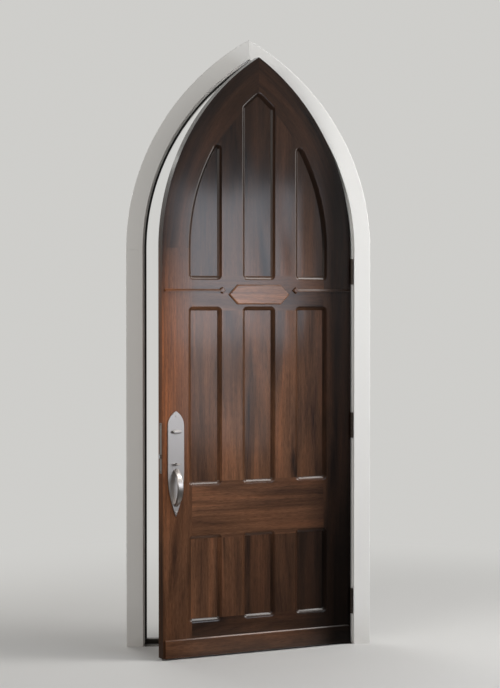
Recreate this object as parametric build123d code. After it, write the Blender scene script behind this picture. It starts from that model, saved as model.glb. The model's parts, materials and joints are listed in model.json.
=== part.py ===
from build123d import *
import math
import os

# Arched wooden door, standing ajar in its own frame.
# X runs across the opening with the hinges on the right, Y runs from the room to the outside, Z is up.
# The origin is the middle of the opening, at floor level, in the plane of the wall's room face.
# Leaf pieces are drawn with the door shut, and turned about the hinge pins at the end.

# Opening and arch
opening_width = 1073
spring_height = 2042
arch_radius = 1142

# Leaf
leaf_gap = 3
leaf_foot = 9
leaf_thickness = 50
stile_width = 160
muntin_width = 155
bottom_rail_top = 195
lock_rail_low = 594
lock_rail_top = 879
upper_rail_drop = 137
upper_rail_height = 173
ajar_angle = 22.6

# Panels and the moulded edge round them
sticking_width = 20
sticking_depth = 15
quirk_depth = 2
bit_radius = 5
groove_depth = 12
panel_play = 1

# Joints in the wood
tenon_thickness = 16
rail_tenon = 54
muntin_tenon = 40
tenon_shoulder = 30
mortise_play = 2
tongue_thickness = 10
tongue_width = 90
tongue_length = 80

# Planted trim on the room side
kick_height = 92
kick_thickness = 8
kick_inset = 12
bead_rise = 101
bead_height = 14
bead_depth = 12
bead_inner_end = 208
bead_stop_side = 24
tablet_rise = 80
tablet_height = 100
tablet_half_length = 172
tablet_point = 50
tablet_thickness = 10
tablet_bevel = 5

# Frame
jamb_thickness = 38
jamb_depth = 140
stop_height = 12
stop_gap = 3
jamb_tongue = 60
kerf_width = 2.4
kerf_depth = 6
seal_width = 10
seal_clearance = 0.4
sill_under_leaf = 5
sill_height = 28
sill_nose = 15
sill_outer_height = 16
sill_overhang = 12

# Casing: thickest beside the opening, its face falls away to the wall
casing_width = 86
casing_reveal = 8
casing_inner_thickness = 22
casing_outer_thickness = 10
casing_easing = 2
channel_depth = 2
channel_inner_land = 12
channel_outer_land = 18

# Butt hinges
hinge_height = 127
bottom_hinge_centre = 222
top_hinge_drop = 113
middle_hinge_share = 0.535
hinge_plate = 3.2
hinge_plate_depth = 38
knuckle_radius = 8
knuckle_setback = 8.5
knuckle_count = 5
knuckle_gap = 0.3
knuckle_relief = 0.6
pin_radius = 4
pin_play = 0.05
pin_head_radius = 6.5
pin_head_height = 4

# Wood screws
screw_radius = 2.2
screw_length = 30
screw_head_radius = 4.2
screw_head_height = 2.4
screw_sides = 12
hinge_screw_heights = (-46, -16, 16, 46)
hinge_screw_depths = (14, 28, 14, 28)

# Mortise lock
backset = 70.5
latch_level = 1012
case_rise = 40
case_height = 220
case_depth = 97
case_thickness = 22
faceplate_height = 250
faceplate_width = 26
faceplate_thickness = 3
face_screw_inset = 8
bolt_width = 14
bolt_length = 58
bolt_play = 0.3
deadbolt_rise = 121
deadbolt_height = 28
latch_height = 20
latch_reach = 12
strike_thickness = 2
strike_play = 1
strike_pocket_depth = 32

# Handle set
plate_width = 89
plate_rise = 102
plate_length = 523
plate_head = 75
plate_tail = 218
plate_thickness = 6
plate_easing = 1.5
plate_bolt_insets = (22, 25)
plate_bolt_radius = 3
plate_bolt_head = 5
plate_bolt_head_height = 2.5
thumb_drop = 40
thumb_width = 26
thumb_reach = 34
thumb_thickness = 5
thumb_crown = 2
thumb_clearance = 2
thumb_stem_width = 8
thumb_stem_height = 5
thumb_slot_play = 4
thumb_pocket = 12
thumb_pivot_radius = 1.5
thumb_pivot_play = 0.05
thumb_pivot_reach = 11
turn_stem_radius = 5
turn_stem_play = 0.08
turn_rose_radius = 14
turn_rose_height = 4
turn_wing_length = 46
turn_wing_width = 15
turn_wing_height = 14
cylinder_radius = 15
cylinder_proud = 7
keyway_width = 2.5
keyway_height = 9
grip_drop = 22
grip_length = 188
grip_stand_off = 58
grip_thickness = 12
grip_foot_width = 20
grip_middle_width = 31
grip_head_width = 24
grip_bevel = 3.5

# Holes for the screws that hold the frame in the wall
wall_screw_radius = 4
wall_screw_depths = (26, 112)
wall_screw_heights = (350, 1650)

half_opening = opening_width / 2
half_leaf = half_opening - leaf_gap
arch_centre = arch_radius - half_opening
arch_axis = Axis((-arch_centre, 0, spring_height), (0, -1, 0))
half_between_stiles = half_leaf - stile_width
upper_rail_top = spring_height - upper_rail_drop
upper_rail_low = upper_rail_top - upper_rail_height
panel_width = (2 * half_between_stiles - 2 * muntin_width) / 3
muntin_centre = (panel_width + muntin_width) / 2
leaf_middle = leaf_thickness / 2
stile_offset = -leaf_gap - stile_width
far = 4000
handle_x = backset - half_leaf
case_middle = latch_level + case_rise
deadbolt_level = latch_level + deadbolt_rise
thumb_level = latch_level - thumb_drop
plate_top = deadbolt_level + plate_rise
plate_bottom = plate_top - plate_length
grip_top = thumb_level - grip_drop
grip_bottom = grip_top - grip_length
top_hinge_centre = spring_height - top_hinge_drop
middle_hinge_centre = bottom_hinge_centre + middle_hinge_share * (top_hinge_centre - bottom_hinge_centre)
hinge_centres = (bottom_hinge_centre, middle_hinge_centre, top_hinge_centre)
pivot_x = half_opening - leaf_gap / 2
pivot_y = -knuckle_setback
open_leaf = Pos(pivot_x, pivot_y) * Rot(0, 0, ajar_angle) * Pos(-pivot_x, -pivot_y)

columns = {
    "latch": (-half_between_stiles, -muntin_centre - muntin_width / 2),
    "middle": (-panel_width / 2, panel_width / 2),
    "hinge": (muntin_centre + muntin_width / 2, half_between_stiles),
}
tiers = {
    "lower": (bottom_rail_top, lock_rail_low),
    "centre": (lock_rail_top, upper_rail_low),
    "upper": (upper_rail_top, far),
}


# Shapes that are used again and again


def apex_height(offset):
    """Height of the arch's point, for an arch grown outwards by offset."""
    radius = arch_radius + offset
    return spring_height + math.sqrt(radius**2 - arch_centre**2)


def arch_outline(offset, foot=0):
    """The pointed opening as a face, X across and Z up, grown outwards by offset."""
    radius = arch_radius + offset
    half = half_opening + offset
    swing = math.degrees(math.acos(arch_centre / radius))
    right_arc = CenterArc((-arch_centre, spring_height), radius, 0, swing)
    left_arc = CenterArc((arch_centre, spring_height), radius, 180 - swing, swing)
    legs = Polyline((-half, spring_height), (-half, foot), (half, foot), (half, spring_height))
    return make_face([right_arc, left_arc, *legs.edges()])


def rectangle_between(left, right, low, high):
    """A rectangular face between two places across and two heights."""
    return Pos((left + right) / 2, (low + high) / 2) * Rectangle(right - left, high - low)


def slab(outline, front, back):
    """The solid between two depths of an outline drawn with X across and Z up."""
    return extrude(Plane.XZ.offset(-back) * outline, back - front)


def block(left, right, front, back, low, high):
    """A box between two places across, two depths and two heights."""
    return slab(rectangle_between(left, right, low, high), front, back)


def leg(section, foot=0):
    """The straight upright of a section drawn as offset from the opening and depth."""
    placed = Pos(half_opening, 0, spring_height) * section
    return extrude(placed, spring_height - foot, dir=(0, 0, -1))


def arch_half(section, outermost):
    """The same section carried round the arch, and mitred at the point."""
    placed = Pos(half_opening, 0, spring_height) * section
    swing = math.degrees(math.acos(arch_centre / (arch_radius + outermost))) + 2
    curved = revolve(placed, arch_axis, swing)
    return split(curved, bisect_by=Plane.YZ, keep=Keep.TOP)


def latch_side(shape):
    """The mirror image across the middle of the opening."""
    return mirror(shape, about=Plane.YZ)


def outside(shape):
    """The mirror image on the leaf's outer face."""
    return mirror(shape, about=Plane.XZ.offset(-leaf_middle))


def rod(start, direction, radius, length):
    """A round bar from a point along a direction."""
    return extrude(Plane(origin=start, z_dir=direction) * Circle(radius), length)


def wood_screw(head, direction):
    """A countersunk screw whose flat head lies at the point head, with few sides because it repeats."""
    face = Plane(origin=head, z_dir=direction)
    rim = face * RegularPolygon(screw_head_radius, screw_sides)
    neck = face.offset(screw_head_height) * RegularPolygon(screw_radius, screw_sides)
    return loft([rim, neck], ruled=True) + extrude(neck, screw_length - screw_head_height)


def save(name, *solids):
    """Write one node, made of one solid or of a group of like solids."""
    shape = solids[0] if len(solids) == 1 else Compound(children=list(solids))
    export_step(shape, f"parts/{name}.step")


def save_leaf(name, *solids):
    """Write one node of the leaf, turned about the hinge pins to where the door stands."""
    save(name, *[open_leaf * solid for solid in solids])


# Frame


def jamb_section():
    """A rebated jamb in plan: the stop is one piece with it, and a kerf holds the seal."""
    board = Pos(jamb_thickness / 2, jamb_depth / 2) * Rectangle(jamb_thickness, jamb_depth)
    stop_face = leaf_thickness + stop_gap
    stop = Pos(-stop_height / 2, (stop_face + jamb_depth) / 2) * Rectangle(stop_height, jamb_depth - stop_face)
    kerf = Pos(-stop_height / 2, stop_face + kerf_depth / 2) * Rectangle(kerf_width, kerf_depth)
    return board + stop - kerf


def seal_section():
    """A flat rubber strip on the stop, with its barb in the kerf."""
    stop_face = leaf_thickness + stop_gap
    thickness = stop_gap - seal_clearance
    strip = Pos(-stop_height / 2, stop_face - thickness / 2) * Rectangle(seal_width, thickness)
    barb = Pos(-stop_height / 2, stop_face + kerf_depth / 2) * Rectangle(kerf_width, kerf_depth)
    return strip + barb


def casing_section():
    """A casing board in plan, thick beside the opening, with eased front edges and a hollow back."""
    outer = casing_reveal + casing_width
    outline = Polyline(
        (casing_reveal, 0),
        (outer, 0),
        (outer, -casing_outer_thickness),
        (casing_reveal, -casing_inner_thickness),
        close=True,
    )
    board = make_face(outline)
    front = board.vertices().sort_by(Axis.Y)[0:2]
    channel = rectangle_between(casing_reveal + channel_inner_land, outer - channel_outer_land,
                                -channel_depth, 1)
    return chamfer(front, casing_easing) - channel


def threshold():
    """A metal sill: low under the leaf, raised behind it, falling to the outside."""
    rise = leaf_thickness + stop_gap
    profile = Polyline(
        (-sill_nose, 0),
        (jamb_depth + sill_overhang, 0),
        (jamb_depth + sill_overhang, sill_outer_height),
        (rise + 10, sill_height),
        (rise, sill_height - 2),
        (rise, sill_under_leaf),
        (-sill_nose + 8, sill_under_leaf),
        (-sill_nose, 1),
        close=True,
    )
    bar = extrude(Plane.YZ.offset(-half_opening) * make_face(profile), opening_width)
    return bar


def wall_screw_holes():
    """Clearance holes through one jamb, for the screws into the wall."""
    return [
        rod((half_opening - stop_height - 1, depth, height), (1, 0, 0), wall_screw_radius,
            stop_height + jamb_thickness + 2)
        for depth in wall_screw_depths
        for height in wall_screw_heights
    ]


def jamb_tongues():
    """Loose tongues across the jamb's joints at the springing and at the point."""
    across = (half_opening + 9, half_opening + jamb_thickness - 9)
    side = block(*across, 25, jamb_depth - 25, spring_height - jamb_tongue / 2,
                 spring_height + jamb_tongue / 2)
    top = apex_height(0)
    crown = block(-jamb_tongue / 3, jamb_tongue / 3, 25, jamb_depth - 25, top + 6, top + 20)
    return [side, latch_side(side), crown]


def build_frame(hinge_cuts, latch_cuts):
    """The four jamb pieces, the sill, the casing and the seals."""
    sill = threshold()
    tongues = jamb_tongues()
    holes = wall_screw_holes()
    leg_jamb = leg(jamb_section())
    arch_jamb = arch_half(jamb_section(), jamb_thickness)
    save("hinge_jamb", leg_jamb - sill - tongues - holes - hinge_cuts)
    save("latch_jamb", latch_side(leg_jamb - holes) - sill - tongues - latch_cuts)
    save("hinge_arch_jamb", arch_jamb - tongues)
    save("latch_arch_jamb", latch_side(arch_jamb) - tongues)
    save("jamb_splines", *tongues)
    save("threshold", sill)

    casing_reach = casing_reveal + casing_width
    casing_leg = leg(casing_section())
    casing_arch = arch_half(casing_section(), casing_reach)
    save("hinge_casing", casing_leg)
    save("latch_casing", latch_side(casing_leg))
    save("hinge_arch_casing", casing_arch)
    save("latch_arch_casing", latch_side(casing_arch))

    seal = leg(seal_section(), sill_height) + arch_half(seal_section(), 0)
    save("weather_seals", seal, latch_side(seal))


# Hinges


def knuckle_spans(middle, owned):
    """Heights of the knuckles of one hinge half; owned is 0 for the frame, 1 for the leaf."""
    pitch = hinge_height / knuckle_count
    foot = middle - hinge_height / 2
    return [(foot + pitch * step, foot + pitch * (step + 1)) for step in range(owned, knuckle_count, 2)]


def hinge_screws(middle, face, direction):
    """The four screws of one hinge half, heads flush in the plate's face."""
    return [
        wood_screw((face, depth, middle + height), (direction, 0, 0))
        for depth, height in zip(hinge_screw_depths, hinge_screw_heights)
    ]


def hinge_half(middle, owned):
    """One plate with its knuckles, relieved where the other half's knuckles turn."""
    face = half_opening if owned == 0 else half_leaf
    direction = 1 if owned == 0 else -1
    edges = sorted((face, face + direction * hinge_plate))
    low = middle - hinge_height / 2
    high = middle + hinge_height / 2
    half = block(*edges, pivot_y, hinge_plate_depth, low, high)
    for start, end in knuckle_spans(middle, 1 - owned):
        relief = rod((pivot_x, pivot_y, start), (0, 0, 1), knuckle_radius + knuckle_relief, end - start)
        half -= relief
    for start, end in knuckle_spans(middle, owned):
        trim_low = 0 if start == low else knuckle_gap / 2
        trim_high = 0 if abs(end - high) < 0.01 else knuckle_gap / 2
        length = end - start - trim_low - trim_high
        half += rod((pivot_x, pivot_y, start + trim_low), (0, 0, 1), knuckle_radius, length)
    half -= rod((pivot_x, pivot_y, low - 1), (0, 0, 1), pin_radius, hinge_height + 2)
    return half - hinge_screws(middle, face, direction)


def hinge_recess(middle, owned):
    """The pocket that one hinge plate is let into, with its screw holes."""
    face = half_opening if owned == 0 else half_leaf
    direction = 1 if owned == 0 else -1
    edges = sorted((face - direction, face + direction * hinge_plate))
    pocket = block(*edges, -1, hinge_plate_depth, middle - hinge_height / 2, middle + hinge_height / 2)
    return [pocket, *hinge_screws(middle, face, direction)]


def hinge_pin(middle):
    """A loose pin with a low button head."""
    low = middle - hinge_height / 2
    shank = rod((pivot_x, pivot_y, low), (0, 0, 1), pin_radius - pin_play, hinge_height)
    head = rod((pivot_x, pivot_y, low + hinge_height), (0, 0, 1), pin_head_radius, pin_head_height)
    rim = head.edges().sort_by(Axis.Z)[-1]
    return shank + chamfer(rim, pin_head_height / 2)


# Leaf


def panel_field(column, tier, grow=0):
    """The space between the members for one panel, grown outwards on every side."""
    left, right = columns[column]
    low, high = tiers[tier]
    field = rectangle_between(left - grow, right + grow, low - grow, high + grow)
    if tier == "upper":
        field = field & arch_outline(stile_offset + grow)
    return field


def routed_outline(column, tier, grow, radius):
    """A panel's outline as the router leaves it, with rounded corners."""
    field = panel_field(column, tier, grow)
    corners = [corner for corner in field.vertices() if abs(corner.Y - spring_height) > 1]
    return fillet(corners, radius)


def sticking_cutter(column, tier):
    """What the router takes off the members round one panel, on the room side."""
    mouth = routed_outline(column, tier, sticking_width, bit_radius + sticking_width)
    root = routed_outline(column, tier, 0, bit_radius)
    quirk = slab(mouth, -1, quirk_depth)
    at_quirk = Plane.XZ.offset(-quirk_depth)
    at_panel = Plane.XZ.offset(-sticking_depth)
    splay = loft([at_quirk * mouth, at_panel * root], ruled=True)
    return quirk + splay


def panel_cutters():
    """Grooves and moulded edges of all nine panels, for the members to be cut with."""
    cutters = []
    for column in columns:
        for tier in tiers:
            groove = panel_field(column, tier, groove_depth)
            moulding = sticking_cutter(column, tier)
            cutters.append(slab(groove, sticking_depth, leaf_thickness - sticking_depth))
            cutters.append(moulding)
            cutters.append(outside(moulding))
    return cutters


def member_section():
    """The rectangular section of a stile."""
    return Pos(-leaf_gap - stile_width / 2, leaf_middle) * Rectangle(stile_width, leaf_thickness)


def tenon_depths():
    """Front and back of every tenon, which lies in the middle of the leaf."""
    return leaf_middle - tenon_thickness / 2, leaf_middle + tenon_thickness / 2


def rail_tenons(low, high, play=0):
    """The two tenons of a rail, or with play the mortises that take them."""
    reach = half_between_stiles + rail_tenon + play
    shoulders = (low + tenon_shoulder, high - tenon_shoulder)
    right = block(half_between_stiles, reach, *tenon_depths(), *shoulders)
    return [right, latch_side(right)]


def muntin_tenons(centre, low, high, play=0):
    """The tenons at a muntin's two ends, or with play the mortises that take them."""
    half = muntin_width / 2 - tenon_shoulder
    across = (centre - half, centre + half)
    tenons = [block(*across, *tenon_depths(), low - muntin_tenon - play, low)]
    if high < spring_height:
        tenons.append(block(*across, *tenon_depths(), high, high + muntin_tenon + play))
        return tenons
    strip = rectangle_between(*across, spring_height, far)
    into_arch = strip & arch_outline(stile_offset + muntin_tenon + play)
    above_shoulder = into_arch - arch_outline(stile_offset)
    tenons.append(slab(above_shoulder, *tenon_depths()))
    return tenons


def leaf_tongues():
    """Loose tongues across the leaf's joints at the springing and at the point."""
    middle = half_leaf - stile_width / 2
    depths = (leaf_middle - tongue_thickness / 2, leaf_middle + tongue_thickness / 2)
    side = block(middle - tongue_width / 2, middle + tongue_width / 2, *depths,
                 spring_height - tongue_length / 2, spring_height + tongue_length / 2)
    crown_middle = (apex_height(stile_offset) + apex_height(-leaf_gap)) / 2
    crown = block(-tongue_length / 2, tongue_length / 2, *depths,
                  crown_middle - tongue_width / 2, crown_middle + tongue_width / 3)
    return [side, latch_side(side), crown]


def build_leaf(hinge_cuts, latch_cuts):
    """Stiles, arch, rails, muntins and panels, each one cut for its neighbours."""
    cutters = panel_cutters()
    tongues = leaf_tongues()
    rails = {
        "bottom_rail": (leaf_foot, bottom_rail_top),
        "lock_rail": (lock_rail_low, lock_rail_top),
        "upper_rail": (upper_rail_low, upper_rail_top),
    }
    rail_mortises = [cut for span in rails.values() for cut in rail_tenons(*span, mortise_play)]
    muntin_mortises = [
        cut
        for side in (-1, 1)
        for span in tiers.values()
        for cut in muntin_tenons(side * muntin_centre, *span, mortise_play)
    ]

    stile = leg(member_section(), leaf_foot)
    arch = arch_half(member_section(), -leaf_gap)
    save_leaf("hinge_stile", stile - cutters - rail_mortises - tongues - hinge_cuts)
    save_leaf("latch_stile", latch_side(stile) - cutters - rail_mortises - tongues - latch_cuts)
    save_leaf("hinge_arch_stile", arch - cutters - muntin_mortises - tongues)
    save_leaf("latch_arch_stile", latch_side(arch) - cutters - muntin_mortises - tongues)
    save_leaf("arch_splines", *tongues)

    for name, (low, high) in rails.items():
        body = block(-half_between_stiles, half_between_stiles, 0, leaf_thickness, low, high)
        save_leaf(name, body - cutters - muntin_mortises + rail_tenons(low, high))

    for side_name, side in (("latch", -1), ("hinge", 1)):
        centre = side * muntin_centre
        for tier, (low, high) in tiers.items():
            strip = rectangle_between(centre - muntin_width / 2, centre + muntin_width / 2, low, high)
            body = slab(strip & arch_outline(stile_offset), 0, leaf_thickness)
            save_leaf(f"{tier}_{side_name}_muntin", body - cutters + muntin_tenons(centre, low, high))

    for column in columns:
        for tier in tiers:
            board = panel_field(column, tier, groove_depth - panel_play)
            panel = slab(board, sticking_depth, leaf_thickness - sticking_depth)
            save_leaf(f"{tier}_{column}_panel", panel)


# Trim planted on the leaf's room side


def kick_board():
    """A board across the foot of the leaf, its top edge bevelled."""
    half = half_leaf - kick_inset
    board = block(-half, half, -kick_thickness, 0, leaf_foot, leaf_foot + kick_height)
    top_edge = board.edges().filter_by(Axis.X).sort_by(Axis.Z)[-2:].sort_by(Axis.Y)[0]
    return chamfer(top_edge, kick_thickness * 0.7)


def rail_bead():
    """A ledge on the upper rail: bevelled above, square below, with a diamond stop at its inner end."""
    bead_middle = upper_rail_low + bead_rise
    low = bead_middle - bead_height / 2
    section = Polyline(
        (0, low),
        (-bead_depth, low),
        (-bead_depth, low + bead_height * 0.35),
        (0, low + bead_height),
        close=True,
    )
    length = half_leaf - kick_inset - bead_inner_end
    bar = extrude(Plane.YZ.offset(bead_inner_end) * make_face(section), length)
    diamond = Pos(bead_inner_end, bead_middle) * Rot(0, 0, 45) * Rectangle(bead_stop_side, bead_stop_side)
    stop = slab(diamond, -bead_depth, 0)
    front = stop.faces().sort_by(Axis.Y)[0]
    return bar + chamfer(front.edges(), bead_depth / 3)


def rail_tablet():
    """A raised tablet with pointed ends in the middle of the upper rail."""
    half_height = tablet_height / 2
    flat = tablet_half_length - tablet_point
    outline = Polyline(
        (-tablet_half_length, 0),
        (-flat, half_height),
        (flat, half_height),
        (tablet_half_length, 0),
        (flat, -half_height),
        (-flat, -half_height),
        close=True,
    )
    board = slab(Pos(0, upper_rail_low + tablet_rise) * make_face(outline), -tablet_thickness, 0)
    front = board.faces().sort_by(Axis.Y)[0]
    return chamfer(front.edges(), tablet_bevel)


# Lock and handle set


def plate_outline():
    """The long handle plate: a short point above, a long one below."""
    half = plate_width / 2
    shoulder = plate_top - plate_head
    waist = plate_bottom + plate_tail
    edges = [
        Line((-half, waist), (-half, shoulder)),
        TangentArc((-half, shoulder), (0, plate_top), tangent=(0, 1)),
        TangentArc((half, shoulder), (0, plate_top), tangent=(0, 1)),
        Line((half, shoulder), (half, waist)),
        TangentArc((half, waist), (0, plate_bottom), tangent=(0, -1)),
        TangentArc((-half, waist), (0, plate_bottom), tangent=(0, -1)),
    ]
    return Pos(handle_x, 0) * make_face(edges)


def plate_bolts():
    """Two bolts through both plates and the stile, with low round heads inside."""
    bolts = []
    for level in (plate_bottom + plate_bolt_insets[0], plate_top - plate_bolt_insets[1]):
        start = (handle_x, -plate_thickness, level)
        shank = rod(start, (0, 1, 0), plate_bolt_radius, leaf_thickness + 2 * plate_thickness - 2)
        head = rod(start, (0, -1, 0), plate_bolt_head, plate_bolt_head_height)
        rim = head.edges().sort_by(Axis.Y)[0]
        bolts.append(shank + chamfer(rim, plate_bolt_head_height / 2))
    return bolts


def thumb_slot(back):
    """The slot that a thumb piece's stem moves in, from the plate's face to a depth."""
    half_width = thumb_stem_width / 2 + thumb_slot_play / 2
    half_height = thumb_stem_height / 2 + thumb_slot_play
    across = (handle_x - half_width, handle_x + half_width)
    return block(*across, -plate_thickness - 1, back, thumb_level - half_height, thumb_level + half_height)


def turn_stem(radius):
    """The round stem of the thumb turn, from the plate's face into the lock."""
    start = (handle_x, -plate_thickness - 1, deadbolt_level)
    return rod(start, (0, 1, 0), radius, plate_thickness + leaf_middle + 1)


def thumb_pivot(radius):
    """The thumb piece's pivot pin, or with play its bore, across the slot inside the plate."""
    start = (handle_x - thumb_pivot_reach, -plate_thickness / 2, thumb_level)
    return rod(start, (1, 0, 0), radius, 2 * thumb_pivot_reach)


def handle_plate():
    """One plate with its easing, its bolt holes, and the thumb piece's slot and pivot bore."""
    blank = slab(plate_outline(), -plate_thickness, 0)
    front = blank.faces().sort_by(Axis.Y)[0]
    eased = chamfer(front.edges(), plate_easing)
    return eased - plate_bolts() - thumb_slot(1) - thumb_pivot(thumb_pivot_radius + thumb_pivot_play)


def grip():
    """A bowed strap seated on the plate: broad in the middle, narrow at its foot, with bevelled edges."""
    seat = -plate_thickness
    middle = (grip_bottom + grip_top) / 2
    radius = (grip_stand_off**2 + (grip_length / 2) ** 2) / (2 * grip_stand_off)
    ring = Circle(radius) - Circle(radius - grip_thickness)
    bow = Plane.YZ.offset(handle_x - grip_middle_width) * Pos(seat - grip_stand_off + radius, middle) * ring
    strap = extrude(bow, 2 * grip_middle_width)
    foot, waist, head = grip_foot_width / 2, grip_middle_width / 2, grip_head_width / 2
    front = make_face([
        Line((-foot, grip_bottom), (foot, grip_bottom)),
        ThreePointArc((foot, grip_bottom), (waist, middle), (head, grip_top)),
        Line((head, grip_top), (-head, grip_top)),
        ThreePointArc((-head, grip_top), (-waist, middle), (-foot, grip_bottom)),
    ])
    bar = strap & slab(Pos(handle_x, 0) * front, seat - 2 * grip_stand_off, seat)
    long_edges = bar.edges().filter_by(lambda edge: edge.bounding_box().size.Z > grip_length / 2)
    return chamfer(long_edges, grip_bevel)


def thumb_piece():
    """A curved thumb pad on a flat stem that turns on its pivot in the plate."""
    back = -plate_thickness - thumb_clearance
    front = -plate_thickness - thumb_reach
    middle = (back + front) / 2
    half = thumb_thickness / 2
    top = ThreePointArc((back, thumb_level + half), (middle, thumb_level + half + thumb_crown),
                        (front, thumb_level + half - thumb_crown))
    bottom = ThreePointArc((back, thumb_level - half), (middle, thumb_level - half + thumb_crown),
                           (front, thumb_level - half - thumb_crown))
    ends = [Line(top @ 0, bottom @ 0), Line(top @ 1, bottom @ 1)]
    side = make_face([top, bottom, *ends])
    pad = extrude(Plane.YZ.offset(handle_x - thumb_width / 2) * side, thumb_width)
    nose = pad.edges().filter_by(Axis.Z).sort_by(Axis.Y)[0:2]
    pad = fillet(nose, thumb_width / 3)
    stem = block(handle_x - thumb_stem_width / 2, handle_x + thumb_stem_width / 2, middle, thumb_pocket - 3,
                 thumb_level - thumb_stem_height / 2, thumb_level + thumb_stem_height / 2)
    return pad + stem + thumb_pivot(thumb_pivot_radius)


def thumb_turn():
    """A round rose, an oval wing that lies level, and the stem that throws the deadbolt."""
    seat = -plate_thickness - 0.3
    start = (handle_x, seat, deadbolt_level)
    rose = rod(start, (0, -1, 0), turn_rose_radius, turn_rose_height)
    wing_outline = Pos(handle_x, deadbolt_level) * SlotOverall(turn_wing_length, turn_wing_width)
    wing = slab(wing_outline, seat - turn_rose_height - turn_wing_height, seat - turn_rose_height)
    front = wing.faces().sort_by(Axis.Y)[0]
    wing = chamfer(front.edges(), turn_wing_width / 4)
    stem = rod(start, (0, 1, 0), turn_stem_radius, plate_thickness + leaf_middle - 1)
    return rose + wing + stem


def key_cylinder():
    """The lock's key cylinder, which stands a little proud of the outer plate."""
    back = leaf_thickness + plate_thickness + cylinder_proud
    start = (handle_x, leaf_middle + case_thickness / 2, deadbolt_level)
    barrel = rod(start, (0, 1, 0), cylinder_radius, back - start[1])
    rim = barrel.edges().sort_by(Axis.Y)[-1]
    barrel = chamfer(rim, 2)
    keyway = block(handle_x - keyway_width / 2, handle_x + keyway_width / 2, back - 6, back + 1,
                   deadbolt_level - keyway_height / 2, deadbolt_level + keyway_height / 2)
    return barrel - keyway


def bolt_bar(level, height, reach):
    """A lock bolt in the case; reach is how far its head stands out of the leaf's edge."""
    head = -half_leaf - reach
    half = bolt_width / 2
    return block(head, head + reach + bolt_length, leaf_middle - half, leaf_middle + half,
                 level - height / 2, level + height / 2)


def bolt_channel(level, height):
    """The room that a bolt slides in, through the edge plate and into the case."""
    half = bolt_width / 2 + bolt_play
    rear = -half_leaf + bolt_length + bolt_play + latch_reach
    return block(-half_leaf - 1, rear, leaf_middle - half, leaf_middle + half,
                 level - height / 2 - bolt_play, level + height / 2 + bolt_play)


def latch_bolt():
    """A spring latch with its head bevelled on the side that meets the strike."""
    bar = bolt_bar(latch_level, latch_height, latch_reach)
    corner = bar.edges().filter_by(Axis.Z).sort_by(Axis.X)[0:2].sort_by(Axis.Y)[-1]
    return chamfer(corner, latch_reach - 1, bolt_width * 0.8)


def deadbolt():
    """A square bolt, drawn back flush with the leaf's edge, with eased corners."""
    bar = bolt_bar(deadbolt_level, deadbolt_height, 0)
    front = bar.faces().sort_by(Axis.X)[0]
    return chamfer(front.edges(), 1)


def lock_face_screws():
    """The two screws of the lock's edge plate."""
    reach = faceplate_height / 2 - face_screw_inset
    return [wood_screw((-half_leaf, leaf_middle, case_middle + side * reach), (1, 0, 0)) for side in (-1, 1)]


def strike_screws():
    """The two screws of the strike plate."""
    reach = faceplate_height / 2 - face_screw_inset
    return [wood_screw((-half_opening, leaf_middle, case_middle + side * reach), (-1, 0, 0)) for side in (-1, 1)]


def lock_spaces():
    """The channels and bores that the lock's moving pieces need."""
    return [
        bolt_channel(latch_level, latch_height),
        bolt_channel(deadbolt_level, deadbolt_height),
        turn_stem(turn_stem_radius + turn_stem_play),
    ]


def lock_case():
    """The mortise lock's closed case, solid but for its channels."""
    front = -half_leaf + faceplate_thickness
    half = case_thickness / 2
    return block(front, front + case_depth, leaf_middle - half, leaf_middle + half,
                 case_middle - case_height / 2, case_middle + case_height / 2)


def edge_plate(face, thickness):
    """A long plate let into a leaf's or a jamb's edge."""
    half = faceplate_width / 2
    edges = sorted((face, face + thickness))
    return block(*edges, leaf_middle - half, leaf_middle + half,
                 case_middle - faceplate_height / 2, case_middle + faceplate_height / 2)


def strike_pocket(level, height, depth):
    """The hole that a bolt shoots into."""
    half = bolt_width / 2 + strike_play
    return block(-half_opening - depth, -half_opening + 1, leaf_middle - half, leaf_middle + half,
                 level - height / 2 - strike_play, level + height / 2 + strike_play)


def build_lock():
    """Lock, strike and handle set; returns what the stile and the jamb are cut with."""
    faceplate = edge_plate(-half_leaf, faceplate_thickness)
    strike = edge_plate(-half_opening, -strike_thickness)
    case = lock_case()
    cylinder = key_cylinder()
    bolts = plate_bolts()
    inner_plate = handle_plate() - turn_stem(turn_stem_radius + turn_stem_play)
    outer_plate = outside(handle_plate()) - bolts - cylinder
    pockets = [
        strike_pocket(latch_level, latch_height, strike_pocket_depth),
        strike_pocket(deadbolt_level, deadbolt_height, strike_pocket_depth),
    ]

    save("strike_plate", strike - pockets - strike_screws())
    save_leaf("lock_faceplate", faceplate - lock_spaces() - lock_face_screws())
    save_leaf("lock_case", case - lock_spaces())
    save_leaf("lock_cylinder", cylinder)
    save_leaf("inside_plate", inner_plate)
    save_leaf("outside_plate", outer_plate)
    save_leaf("plate_bolts", *bolts)
    save_leaf("inside_grip", grip())
    save_leaf("outside_grip", outside(grip()))
    save_leaf("thumb_turn", thumb_turn())
    save_leaf("inside_thumb_piece", thumb_piece())
    save_leaf("outside_thumb_piece", outside(thumb_piece()))
    save_leaf("latch_bolt", latch_bolt())
    save_leaf("deadbolt", deadbolt())

    stems = [thumb_slot(thumb_pocket), outside(thumb_slot(thumb_pocket))]
    stile_cuts = [faceplate, case, cylinder, *bolts, *stems, *lock_spaces(), *lock_face_screws()]
    jamb_cuts = [strike, *pockets, *strike_screws()]
    return stile_cuts, jamb_cuts


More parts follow.
